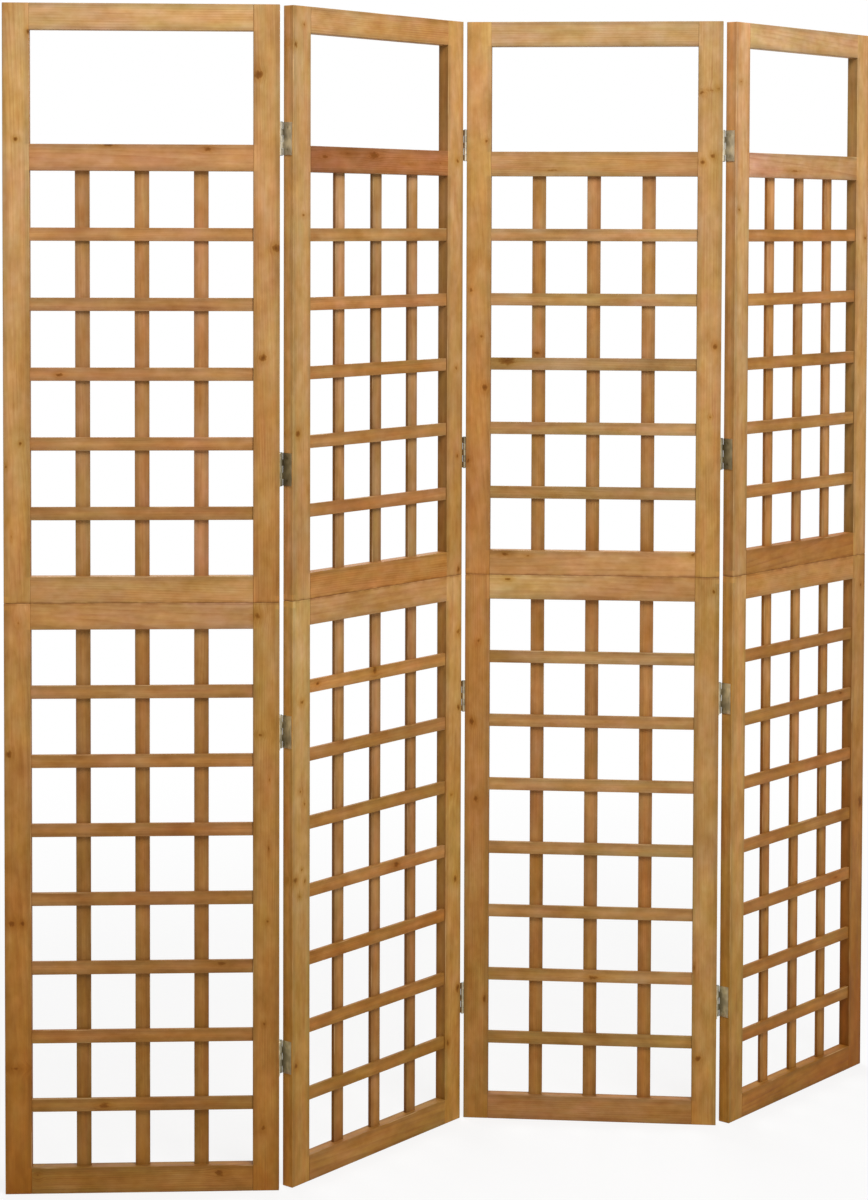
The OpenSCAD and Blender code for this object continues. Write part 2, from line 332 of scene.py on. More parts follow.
def ring_radius(board, pith, lean, lot):
    """Distance from the middle of the log, in metres.

    The place across and into the board, less the pith's place, less the log's lean times the
    place along the board, plus a slow wander of a few millimetres, and then the length of that.
    """
    wander = (cloud(board * WANDER_LUMPS + lot, 1.0, 0.5, "Color") - 0.5) * WANDER
    along = board.finish.node("ShaderNodeSeparateXYZ", {}, {0: board}, 2)
    return length(board * (1, 1, 0) - pith + wander - along * lean)


def ring_shade(radius, spacing, lot):
    """How far into the dark late wood a place is, from 0 to 1.

    The radius over the spacing counts the years, with a little noise so that years differ.
    Within a year it darkens slowly and stops at once, as fir does at the end of summer.
    """
    years = radius / spacing
    uneven = cloud(joined(years * 0.7, lot, 0), 0.0)
    year = one(years + uneven, "FRACT")
    return step(year, *LATE_SPAN) * (1 - step(year, *WINTER_SPAN))


# %% [markdown]
# ## Knots
#
# A knot is the foot of a branch, a dark round plug that runs right through a thin board. The
# rings part round it as water does round a stone. Each one is placed where the real boards have
# one: across its panel and up from the floor, with its half width and half height, all in
# millimetres, and then how faint it is, from 0 to 1.

# %% Where the knots are
MM = 0.001
KNOTS = {
    1: [(20, 1597, 3, 3, 0.1), (39, 1757, 3, 5, 0.3), (382, 1695, 6, 6, 0.0),
        (409, 1435, 6, 5, 0.0), (389, 1270, 5, 5, 0.0), (381, 880, 7, 8, 0.6),
        (10, 414, 5, 5, 0.2), (27, 414, 4, 4, 0.3), (16, 193, 17, 5, 0.7), (396, 414, 3, 4, 0.6),
        (391, 257, 3, 4, 0.5), (390, 97, 4, 6, 0.5), (7, 672, 5, 6, 0.2), (26, 1141, 3, 3, 0.3),
        (4, 1106, 3, 5, 0.6), (12, 1001, 2, 6, 0.6), (385, 699, 6, 4, 0.6), (399, 631, 2, 8, 0.7),
        (398, 525, 2, 8, 0.6), (22, 870, 5, 9, 0.9), (84, 1244, 6, 3, 0.3),
        (327, 350, 12, 4, 0.5), (149, 134, 9, 6, 0.4), (323, 28, 9, 6, 0.3), (49, 29, 5, 7, 0.8),
        (157, 1589, 9, 3, 0.2), (306, 1583, 7, 4, 0.3)],
    2: [(24, 1772, 4, 4, 0.6), (5, 1741, 5, 6, 0.3), (23, 1485, 4, 4, 0.6), (11, 1154, 5, 5, 0.1),
        (72, 1574, 9, 4, 0.4), (189, 1579, 13, 6, 0.2), (128, 1580, 24, 5, 1.0),
        (345, 1570, 34, 3, 0.8), (270, 1567, 20, 2, 0.9), (399, 1574, 4, 5, 0.4),
        (397, 1238, 4, 5, 0.5), (401, 1095, 3, 4, 0.4), (405, 909, 4, 6, 0.2),
        (405, 807, 5, 6, 0.3), (21, 744, 5, 4, 0.5), (17, 607, 4, 4, 0.6), (27, 587, 4, 5, 0.6),
        (21, 487, 3, 3, 0.5), (6, 473, 5, 5, 0.2), (28, 468, 3, 5, 0.5), (16, 446, 4, 4, 0.6),
        (406, 682, 5, 6, 0.3), (388, 541, 5, 5, 0.6), (399, 401, 6, 7, 0.3),
        (406, 218, 5, 7, 0.2), (380, 133, 5, 6, 0.4), (60, 767, 5, 3, 0.3), (8, 186, 4, 5, 0.3),
        (250, 452, 5, 4, 0.1), (196, 770, 5, 6, 0.2)],
    3: [(32, 1607, 4, 4, 0.6), (8, 1365, 3, 5, 0.4), (25, 1290, 3, 4, 0.4), (31, 1206, 5, 6, 0.2),
        (23, 791, 4, 5, 0.4), (11, 658, 5, 6, 0.2), (18, 530, 4, 7, 0.3), (34, 199, 3, 7, 0.4),
        (380, 1685, 6, 4, 0.5), (407, 1692, 6, 5, 0.7), (394, 1689, 16, 3, 1.0),
        (4, 1086, 3, 6, 0.4), (398, 1583, 4, 4, 0.2), (382, 1573, 4, 4, 0.2),
        (404, 1275, 4, 5, 0.2), (397, 1161, 3, 3, 0.6), (405, 877, 3, 4, 0.4),
        (384, 110, 5, 5, 0.1), (377, 260, 2, 6, 0.5), (67, 1250, 13, 7, 0.1),
        (116, 1263, 6, 3, 0.3), (65, 934, 8, 4, 0.5), (371, 937, 5, 4, 0.4),
        (140, 1560, 16, 3, 0.7), (103, 931, 6, 3, 0.7), (70, 893, 7, 3, 0.5),
        (212, 238, 10, 4, 0.4)],
    4: [(13, 1704, 5, 4, 0.7), (10, 1497, 4, 4, 0.5), (350, 1316, 5, 4, 0.3),
        (180, 1562, 34, 5, 0.8), (404, 1450, 4, 4, 0.4), (400, 847, 4, 4, 0.5),
        (404, 466, 5, 10, 0.1), (340, 665, 6, 3, 0.4), (330, 345, 10, 3, 0.4),
        (118, 330, 4, 5, 0.5)],
}


def knots_on(name, number, grain):
    """The knots whose middle lies within a piece: across, along, both half sizes, faintness."""
    low, high = in_panel(name, number)
    found = []
    for x, z, half_w, half_h, faint in np.array(KNOTS[number]) * (MM, MM, MM, MM, 1):
        if low[0] < x < high[0] and low[2] < z < high[2]:
            oval = (x, z, half_w, half_h) if grain == "z" else (z, x, half_h, half_w)
            found.append((*oval, faint))
    return found


print("knots on the screen:", sum(len(several) for several in KNOTS.values()))


# %% Knots in a board
KNOT_PULL = 0.8
KNOT_REACH = 3


def around_knots(board, knots):
    """The place in the board as if no knot had pushed it aside, and the nearness to a knot.

    For each knot the distance from its middle is measured in half sizes, so it is 1 on the rim.
    The place moves towards the knot's middle by KNOT_PULL times exp(-distance^2 / KNOT_REACH),
    so the rings that are read there bend round it. The nearness is the smallest distance, to
    which a faint knot, one that lies just under the face, adds its faintness.
    """
    moved = board
    nearest = None
    for across, along, half_a, half_l, faint in knots:
        away = (board - (across, 0, along)) * (1, 0, 1)
        distance = length(away * (1 / half_a, 0, 1 / half_l))
        share = one(distance * distance * (-1 / KNOT_REACH), "EXPONENT") * KNOT_PULL
        moved = moved - away * share
        distance = distance + faint
        nearest = distance if nearest is None else lesser(nearest, distance)
    return moved, nearest


# %% [markdown]
# ## A stick from a log
#
# Where a board lay in its log decides its figure. Some lay flat with the pith close behind them
# and show arches, others lay to one side and show straight lines. Slats that share one node are
# told apart by the row that they stand in, so that each is a stick from another log.

# %% Rows of slats
UPRIGHT_W, UPRIGHT_COUNT = 0.022, 3
CROSS_W, CROSS_COUNT = 0.020, 7


def repeat(opening, width, count):
    """How slats repeat in a frame: spacing, the first one's middle, and width.

    The gaps are equal, so the opening and one slat more are shared by one more than the slats.
    """
    spacing = (opening + width) / (count + 1)
    return spacing, STILE_W + spacing - width / 2, width


UPRIGHTS = repeat(PANEL_W - 2 * STILE_W, UPRIGHT_W, UPRIGHT_COUNT)
CROSSES = repeat(FRAME_H - 2 * STILE_W, CROSS_W, CROSS_COUNT)
print(f"uprights every {UPRIGHTS[0]:.4f} m, cross slats every {CROSSES[0]:.4f} m")


# %% A board's place in its log
FLAT_REACH, FLAT_DEPTH = (0.012, 0.024), (0.045, 0.065)
SIDE_REACH, SIDE_DEPTH = (0.045, 0.080), 0.025
SLAT_PITH, SLAT_SPREAD = 0.03, (0.16, 0.10, 0)
LEAN_ACROSS, LEAN_BACK = (-0.02, 0.02), (0.012, 0.022)
RING_WIDTHS = (0.0024, 0.0036)
LOT_SPREAD, FRAME_LOT, NODE_LOT = 23, 20, 50


def drawn(span, chance):
    """A number from a span: its low end at a chance of 0, its high end at 1."""
    low, high = span
    return low + (high - low) * chance


def board_log(stick, own):
    """A whole board: the pith runs behind its middle, or passes it at one side.

    The share of its second tint is how far along the board a place is, from 0 to 1.
    """
    low, high = in_panel(stick.name, stick.number)
    wide, long = (0, 2) if stick.grain == "z" else (2, 0)
    centre = float(low[wide] + high[wide]) / 2
    side = 1 if own[3] > 0.5 else -1
    flat = own[4] > 0.45
    reach = drawn(FLAT_REACH if flat else SIDE_REACH, own[5])
    stick.chance = own[0]
    stick.lot = tuple(number * LOT_SPREAD for number in own[:3])
    stick.pith = (centre + side * reach, drawn(FLAT_DEPTH, own[2]) if flat else SIDE_DEPTH, 0)
    stick.log = None
    stick.tint_share = (stick.along - float(low[long])) / float(high[long] - low[long])


def slat_log(stick, own):
    """Slats of one node: a noise of the row's number draws each its log.

    The row is the place across over the spacing, rounded down. Rows of cross slats start again
    at the foot of the upper frame. The second tint is the upper frame's.
    """
    finish = stick.x.finish
    spacing = stick.slats[0]
    upper = one(stick.up / FRAME_H, "FLOOR")
    if stick.grain == "x":
        stick.across = stick.across - upper * FRAME_H
    row = one(stick.across / spacing, "FLOOR")
    throw = finish.node("ShaderNodeTexWhiteNoise", {"noise_dimensions": "1D"},
                        {"W": row + upper * FRAME_LOT + own[0] * NODE_LOT}, "Color")
    stick.chance = throw.also("Value")
    stick.lot = throw * LOT_SPREAD
    stick.pith = (throw - 0.5) * SLAT_SPREAD + (spacing * 0.35, SLAT_PITH, 0)
    stick.log = joined(stick.across - row * spacing, stick.depth, stick.along)
    stick.tint_share = upper


def cut_stick(finish, name, number, grain, slats):
    """A board as a stick from a log: its axes on the panel, and where its log's pith runs.

    The letters of its name seed six random numbers, so that it looks the same each time.
    """
    x = finish.node("ShaderNodeSeparateXYZ", {}, {0: on_panel(finish, number)}, 0)
    depth, up = x.also(1), x.also(2)
    across, along = (x, up) if grain == "z" else (up, x)
    stick = SimpleNamespace(name=name, number=number, grain=grain, slats=slats, x=x, up=up,
                            across=across, depth=depth, along=along,
                            place=joined(across, depth, along))
    seed = sum(ord(letter) * (i + 3) for i, letter in enumerate(name))
    own = [float(value) for value in np.random.default_rng(seed).random(6)]
    stick.lean = (drawn(LEAN_ACROSS, own[1]), drawn(LEAN_BACK, own[2]), 0)
    stick.ring_width = drawn(RING_WIDTHS, own[5])
    if slats:
        slat_log(stick, own)
    else:
        board_log(stick, own)
    return stick


# %% [markdown]
# ## The wood and its stain
#
# Fir grows pale wood in spring and dark wood in late summer. Stain evens that out a little, but
# the wood takes it up unevenly: in broad clouds, in streaks along the grain, and in fine flecks.
# Each of these is a noise with so many lumps to a metre, across, into and along the board.
# Fibres are far narrower than a pixel of the photograph, but a near view needs them, and they
# roughen the surface a little.

# %% Lumps to a metre, from coarse to fine
DRIFT = (13, 13, 8)
BLOTCHES = (26, 26, 10)
POOLS = (55, 55, 55)
HUES = (58, 58, 26)
FADED = (60, 60, 9)
PATCHES = (62, 62, 30)
RUBS = (120, 120, 13)
STREAKS = (120, 90, 5.5)
MOTTLE = (170, 170, 95)
RAGGED = (330, 330, 200)
FIBRES = (700, 700, 16)


def mark(stick, lumps, detail=1.0, rough=0.5, output=0):
    """One noise of a board's own, with so many lumps to a metre."""
    return cloud(stick.place * lumps + stick.lot, detail, rough, output)


# %% How much each noise changes the colour
FIBRE_SHARE = 0.22
STREAK_SHARE = 0.18
MOTTLE_SHARE = 0.16
PATCH_SHARE = 0.45
BLOTCH_SHARE, SLAT_BLOTCH_SHARE = 0.42, 0.60
BOARD_SHADES, SLAT_SHADES = (0.88, 1.12), (0.94, 1.06)
DRIFT_SHARES = (0.15, 0.15, 0.50)
HUE_SHARES = (0.20, 0.02, 0.50)
HUE_LOT = (7, 7, 7)
GREEN_POWER, GREEN_WHOLE = 1.45, 1.25
BLUE_POWER, BLUE_WHOLE = 2.5, 1.6
EVEN = (1, 1, 1)

# %% Rings, fibres and clouds
FADE_SPAN, LATE_STRENGTHS = (0.36, 0.62), (0.40, 1.25)
BAND_LUMPS, BAND_LOT, BAND_DRIFT = 80, 31, 1.1
HEART_SPAN, HEART_LOT, HEART_SHARE = (0.40, 0.85), 0.24, 0.7
STREAK_SPAN, STREAK_DARK = (0.54, 0.78), 0.55


def ringed(stick, moved):
    """The radius in the log, and how dark the late wood is there, faded in long patches."""
    log = moved if stick.log is None else stick.log + (moved - stick.place)
    radius = ring_radius(log, stick.pith, stick.lean, stick.lot)
    late = ring_shade(radius, stick.ring_width, stick.chance)
    return radius, late * drawn(LATE_STRENGTHS, step(mark(stick, FADED), *FADE_SPAN))


def wood_colour(stick, radius, late, streak, figure):
    """Early wood, redder in some bands of years, and darker in the late wood and in streaks."""
    banded = joined(radius * BAND_LUMPS, stick.chance * BAND_LOT, stick.along * BAND_DRIFT)
    heart = step(cloud(banded, 1.5, 0.5) + stick.chance * HEART_LOT, *HEART_SPAN)
    colour = blend(heart * HEART_SHARE, EARLY, HEART)
    colour = blend(late * figure, colour, LATE)
    return blend(step(streak, *STREAK_SPAN) * STREAK_DARK, colour, LATE)


def clouded(stick, colour, fibre, streak):
    """The wood under uneven stain.

    The shade is 1 plus a share of each noise less its middle value, and the board's own shade
    multiplies it. Dark stain is also the more saturated one, so green takes the shade raised to
    GREEN_POWER and blue to BLUE_POWER. Two coloured noises then shift the hue.
    """
    whole = drawn(SLAT_SHADES if stick.slats else BOARD_SHADES, stick.chance)
    blotch_share = SLAT_BLOTCH_SHARE if stick.slats else BLOTCH_SHARE
    shade = (1 + (fibre - 0.5) * FIBRE_SHARE + (mark(stick, BLOTCHES, 1.5) - 0.5) * blotch_share
             + (streak - 0.5) * STREAK_SHARE + (mark(stick, MOTTLE) - 0.5) * MOTTLE_SHARE
             + (mark(stick, PATCHES, 1.5, 0.55) - 0.5) * PATCH_SHARE)
    colour = tinted(colour, joined(shade * whole, shade ** GREEN_POWER * whole ** GREEN_WHOLE,
                                   shade ** BLUE_POWER * whole ** BLUE_WHOLE))
    drift = mark(stick, DRIFT, 1.0, 0.5, "Color") - 0.5
    colour = tinted(colour, drift * DRIFT_SHARES + EVEN)
    hue = cloud(stick.place * HUES + HUE_LOT + stick.lot, 1.5, 0.55, "Color") - 0.5
    return tinted(colour, hue * HUE_SHARES + EVEN)


# %% Knots on the wood
HALO_SPAN = (0.9, 3.4)
PLUG_SPAN = (0.8, 1.3)
MIDDLE_SPAN = (0.0, 1.25)
RINGLESS_SPAN = (0.8, 1.4)
RIM_RAG, FIBRE_RAG = 1.1, 0.5


def knotted(stick, colour, nearest, fibre):
    """A wide halo, the plug, and its dark middle, all with a ragged rim.

    Each span runs from where it is full to where it has gone, in half sizes of the knot.
    """
    ragged = nearest + (mark(stick, RAGGED) - 0.5) * RIM_RAG + (fibre - 0.5) * FIBRE_RAG
    colour = tinted(colour, HALO_TINT, 1 - step(ragged, *HALO_SPAN))
    colour = tinted(colour, PLUG_TINT, 1 - step(ragged, *PLUG_SPAN))
    return blend((1 - step(ragged, *MIDDLE_SPAN)) * 0.95, colour, KNOT)


# %% [markdown]
# ## Edges and joints
#
# The free edges of a board are darker, and hands have rubbed the very corner pale. Where two
# boards meet tightly there is no free edge, so there is neither. The seam between the lower and
# the upper frame is open to the stain, and it has pooled there.

# %% Edges of a board
EDGE_SPAN = (0.0020, 0.0100)
CORNER_SPAN = (0.0004, 0.0013)
SEAM_SPAN = (0.0006, 0.0050)
MET_SPAN = (0.009, 0.011)
SOFT = 0.002
EDGE_RAG = 0.0012
HANDLED_SPAN = (0.56, 0.68)
POOL_SPAN, POOL_SHARES = (0.34, 0.60), (0.07, 0.43)


def from_edge(stick):
    """Distance from the nearest long edge of a board, in metres.

    On a face one of the two distances, to the board's sides or to its front or back, is nothing,
    so the larger of them is how far the nearest edge is. Slats repeat, so for them the distance
    is half a slat less the way to the nearest slat's middle.
    """
    low, high = in_panel(stick.name, stick.number)
    across, depth = stick.across, stick.depth
    if stick.slats:
        spacing, first_middle, width = stick.slats
        turns = (across - first_middle) / spacing + 0.5
        sideways = width / 2 - one(one(turns, "FRACT") - 0.5, "ABSOLUTE") * spacing
    else:
        wide = {"z": 0, "x": 2}[stick.grain]
        sideways = lesser(across - float(low[wide]), float(high[wide]) - across)
    return greater(sideways, lesser(depth - float(low[1]), float(high[1]) - depth))


def from_inside(x):
    """How far a place lies outside the opening of its frame, in metres across the panel."""
    return one(x - PANEL_W / 2, "ABSOLUTE") - (PANEL_W / 2 - STILE_W)


def where_met(stick):
    """1 where another board meets this one's edge, so that the edge is neither dark nor worn.

    That is within a centimetre of the seam between the frames, and on a stile, in its inner
    half, beside each rail that ends there.
    """
    met = 1 - step(one(stick.up - FRAME_H, "ABSOLUTE"), *MET_SPAN)
    if "stile" not in stick.name:
        return met
    low, high = in_panel(stick.name, stick.number)
    inner_half = 1 - step(from_inside(stick.x), STILE_W / 2 - SOFT, STILE_W / 2 + SOFT)
    for rail in RAILS:
        rail_middle = middle(f"{rail}_{stick.number}").z
        if low[2] < rail_middle < high[2]:
            away = one(stick.up - rail_middle, "ABSOLUTE")
            beside = 1 - step(away, RAIL_H / 2 - SOFT, RAIL_H / 2 + SOFT / 2)
            met = greater(met, inner_half * beside)
    return met


def edged(stick, colour, fibre):
    """Darker along the free edges, and rubbed pale on their corners where hands have been."""
    free = 1 - where_met(stick)
    edge = from_edge(stick) + (fibre - 0.5) * EDGE_RAG
    darkened_edge = (1 - step(edge, *EDGE_SPAN)) * free * 0.50
    colour = tinted(colour, EDGE_DARKENING, darkened_edge)
    handled = step(mark(stick, RUBS), *HANDLED_SPAN)
    return blend((1 - step(edge, *CORNER_SPAN)) * handled * free * 0.5, colour, RUBBED)


def seamed(stick, colour):
    """Darker at the seam of the two frames, by an amount that changes along it."""
    away = one(stick.up - FRAME_H, "ABSOLUTE")
    pooled = drawn(POOL_SHARES, step(mark(stick, POOLS), *POOL_SPAN))
    return tinted(colour, JOINT_STAIN, (1 - step(away, *SEAM_SPAN)) * pooled)


# %% [markdown]
# ## Ends and sides of the uprights
#
# End grain drinks stain, so the ends of stiles and upright slats are dark. The slats' sides and
# the stiles' inner sides get painted shade, darker where the lattice keeps the light off them.

# %% Ends and sides
# Painted light on the outer sides of panel 2's left stiles, painted shade on panel 4's.
OUTER_SIDE_LIGHT_AND_SHADE = {
    "upper_left_stile_2": "glow", "lower_left_stile_2": "ginger",
    "upper_left_stile_4": "amber", "lower_left_stile_4": "fawn",
}
END_FACING = (0.75, 0.95)
SIDE_FACING = (0.6, 0.9)
INNER_SHADE_SPAN = (0.0003, 0.0015)
OUTER_SPAN = (0.0015, 0.0030)


def ended(stick, colour):
    """End grain, sides in painted shade and outer sides, told apart by where the surface faces.

    It is an end where it faces up or down, and a side where the cosine of the angle between its
    normal and the panel's heading is large, either way. The outer sides of the left stiles of
    panels 2 and 4 have a tint of their own: painted light on panel 2 and painted shade on panel 4.
    """
    facing = stick.x.finish.node("ShaderNodeTexCoord", output="Normal")
    cut = one(facing.finish.node("ShaderNodeSeparateXYZ", {}, {0: facing}, 2), "ABSOLUTE")
    colour = tinted(colour, END_STAIN, step(cut, *END_FACING))
    heading = PANELS[stick.number][0]
    direction = (math.cos(heading), math.sin(heading), 0)
    cosine = facing.finish.node("ShaderNodeVectorMath", {"operation": "DOT_PRODUCT"},
                                {0: facing, 1: direction}, "Value")
    sideways = step(one(cosine, "ABSOLUTE"), *SIDE_FACING)
    inner = from_inside(stick.x)
    # Painted shade on the sides inside the opening.
    inner_shade = sideways * (1 - step(inner, *INNER_SHADE_SPAN))
    colour = tinted(colour, DEEPER_INNER_SHADES.get(stick.name, INNER_SIDE_SHADE), inner_shade)
    # Painted light and shade on the outer sides.
    outer = sideways * step(inner, *OUTER_SPAN)
    return tinted(colour, TINTS[OUTER_SIDE_LIGHT_AND_SHADE.get(stick.name, "honey")], outer)


# %% [markdown]
# ## One board's finish
#
# Everything above meets here. Fibres and late wood also change the gloss and the relief, because
# the hard late wood stands up a little after sanding and shines more.

# %% Board finish
STILE_FIGURE = 0.22
RAIL_FIGURE = 0.30
BOLD_FIGURE = 0.50
FIR_GLOSS, FIR_ROUGH = 0.1, 0.60
FIR_RELIEF = 0.0003


def board_finish(name, number, grain, tint, slats=None, figure=STILE_FIGURE):
    """A stained board of panel `number`, with its grain along x or z of the panel.

    `tint` is a pair: a board's left or lower end and its other end, or for slats the lower and
    the upper frame. `slats` says how slats that share one node repeat: their spacing, first
    middle and width. `figure` is how boldly the rings show.
    """
    finish = Finish(bpy.data.materials.new(f"stained_fir_{name}"))
    stick = cut_stick(finish, name, number, grain, slats)
    moved, nearest = around_knots(stick.place, knots_on(name, number, grain))
    radius, late = ringed(stick, moved)
    fibre = cloud(moved * FIBRES + stick.lot, 2.0, 0.6)
    streak = cloud(moved * STREAKS + stick.lot, 2.0, 0.55)

    colour = wood_colour(stick, radius, late, streak, figure)
    colour = clouded(stick, colour, fibre, streak)
    own_tint = blend(stick.tint_share, TINTS[tint[0]], TINTS[tint[1]])
    colour = stained(colour, stick.up, own_tint)
    if nearest is not None:
        colour = knotted(stick, colour, nearest, fibre)
        late = late * step(nearest, *RINGLESS_SPAN)
    colour = seamed(stick, edged(stick, colour, fibre))
    if grain == "z":
        colour = ended(stick, colour)

    relief = finish.node("ShaderNodeBump", {}, {"Strength": 0.5, "Distance": FIR_RELIEF,
                                               "Height": fibre * 0.7 - late * 0.4})
    surface = finish.node("ShaderNodeBsdfPrincipled", {},
                          {"Base Color": colour, "Normal": relief,
                           "Specular IOR Level": FIR_GLOSS,
                           "Roughness": FIR_ROUGH + (fibre - 0.5) * 0.25 - late * 0.08})
    finish.node("ShaderNodeOutputMaterial", {}, {"Surface": surface})
    return finish.owner


def dress(name, material):
    """Puts one finish on a piece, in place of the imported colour."""
    slots = nodes[name].data.materials
    slots.clear()
    slots.append(material)


# %% [markdown]
# ## Finishing the boards
#
# The joiner took boards as they came, so neighbours differ. The names below say which board is
# which, and the two tints of its pair are those of its left or lower end and of its other end.

# %% Tints of the boards
BOARD_TINTS = {
    "top_rail_1": ("flax", "sand"), "top_rail_2": ("sand", "toast"),
    "top_rail_3": ("straw", "slate"), "top_rail_4": ("cream", "pale"),
    "window_rail_1": ("dusky", "dusky"), "window_rail_2": ("umber", "rust"),
    "window_rail_3": ("flax", "bark"), "window_rail_4": ("mauve", "tan"),
    "seam_rail_upper_1": ("sand", "sand"), "seam_rail_upper_2": ("amber", "fawn"),
    "seam_rail_upper_3": ("dun", "pale"), "seam_rail_upper_4": ("toast", "copper"),
    "seam_rail_lower_1": ("peach", "mauve"), "seam_rail_lower_2": ("pale", "pale"),
    "seam_rail_lower_3": ("cream", "dun"), "seam_rail_lower_4": ("peach", "peach"),
    "bottom_rail_1": ("dun", "dusky"), "bottom_rail_2": ("dusky", "tan"),
    "bottom_rail_3": ("mauve", "mauve"), "bottom_rail_4": ("peach", "copper"),
    "upper_left_stile_1": ("buff", "tan"), "upper_right_stile_1": ("fawn", "sand"),
    "upper_left_stile_2": ("sand", "moss"), "upper_right_stile_2": ("tan", "tan"),
    "upper_left_stile_3": ("toast", "oat"), "upper_right_stile_3": ("buff", "flax"),
    "upper_left_stile_4": ("sand", "pale"), "upper_right_stile_4": ("light", "ivory"),
    "lower_left_stile_1": ("copper", "buff"), "lower_right_stile_1": ("toast", "oat"),
    "lower_left_stile_2": ("tan", "cream"), "lower_right_stile_2": ("light", "ivory"),
    "lower_left_stile_3": ("sand", "amber"), "lower_right_stile_3": ("whey", "honey"),
    "lower_left_stile_4": ("light", "ivory"), "lower_right_stile_4": ("bronze", "oat"),
}
SLAT_TINTS = {
    "upright_slats_1": ("slat_dark", "slat"), "upright_slats_2": ("slat_cool", "slat_ash"),
    "upright_slats_3": ("slat", "slat_dark"), "upright_slats_4": ("slat_honey", "slat_honey"),
    "cross_slats_1": ("slat", "slat"), "cross_slats_2": ("slat_honey", "slat_dark"),
    "cross_slats_3": ("slat_pale", "slat_grey"), "cross_slats_4": ("slat_gold", "slat_gold"),
}
BOLD_RAILS = ("top_rail_2", "window_rail_2", "window_rail_4", "seam_rail_upper_2",
              "seam_rail_upper_4", "bottom_rail_1", "bottom_rail_4")

# %% Boards of each panel
for number in PANELS:
    for part in STILES:
        name = f"{part}_{number}"
        dress(name, board_finish(name, number, "z", BOARD_TINTS[name]))
    for part in RAILS:
        name = f"{part}_{number}"
        figure = BOLD_FIGURE if name in BOLD_RAILS else RAIL_FIGURE
        dress(name, board_finish(name, number, "x", BOARD_TINTS[name], figure=figure))
    for part, grain, slats in (("upright_slats", "z", UPRIGHTS), ("cross_slats", "x", CROSSES)):
        name = f"{part}_{number}"
        dress(name, board_finish(name, number, grain, SLAT_TINTS[name], slats))
print("boards finished:", (len(STILES) + len(RAILS) + 2) * len(PANELS))

# %% [markdown]
# ## Beech dowels
#
# The dowels that line up the lower and upper frames are hidden in the wood. They are plain beech,
# paler than the fir, with fine short flecks along their length.

# %% Dowels
BEECH = rgb(0.55, 0.36, 0.20)
BEECH_FLECK = rgb(0.42, 0.25, 0.12)
FLECKS = (1600, 1600, 90)


def beech_finish(number):
    """Pale beech with short flecks along z: a noise drawn out eighteen times along the grain."""
    finish = Finish(bpy.data.materials.new(f"beech_{number}"))
    place = on_panel(finish, number)
    flecks = cloud(place * FLECKS, 1.0, 0.6)
    colour = blend(step(flecks, 0.35, 0.7), BEECH, BEECH_FLECK)
    surface = finish.node("ShaderNodeBsdfPrincipled", {},
                          {"Base Color": colour, "Roughness": flecks * 0.2 + 0.5})
    finish.node("ShaderNodeOutputMaterial", {}, {"Surface": surface})
    return finish.owner


for number in PANELS:
    dress(f"seam_dowels_{number}", beech_finish(number))
print("sets of dowels finished:", len(PANELS))

# %% [markdown]
# ## Zinc-plated hinges
#
# The leaves are stamped from thin steel and plated with zinc, a warm grey in dull and bright
# patches, with fine rolling marks along the strip. The highest hinge of a line is the palest and
# the lowest a little pale, both painted light, and the one above the seam is the darkest, painted
# shade.

# %% Plated steel
LEAF_ZINC = (rgb(0.40, 0.33, 0.21), rgb(0.72, 0.61, 0.41))
SCREW_ZINC = (rgb(0.40, 0.33, 0.20), rgb(0.66, 0.56, 0.38))
PIN_ZINC = (rgb(0.32, 0.32, 0.30), rgb(0.60, 0.60, 0.58))
# Painted shade on the hinge barrel and the leaf beside it.
BARREL_SHADE = rgb(0.62, 0.64, 0.66)
BARREL_SHADE_REACH = 0.013
ZINC_LUMPS = (75, 75, 62)
ZINC_LOT = (3.7, 0, 0)
ROLLING = (2600, 2600, 120)
HINGE_SPAN = (0.05, 0.06)
# Painted light on the highest and the lowest hinge of a line, painted shade on the one above the
# seam.
HINGE_LIGHT_AND_SHADE = [(1.6, rgb(1.10, 1.15, 1.31)), (1.1, rgb(0.71, 0.70, 0.66)),
               (0.2, rgb(1.05, 1.09, 1.12))]
PIN_DEPTHS = {1: (PANEL_T, PANEL_T), 2: (PANEL_T, 0), 3: (0, PANEL_T), 4: (PANEL_T, PANEL_T)}


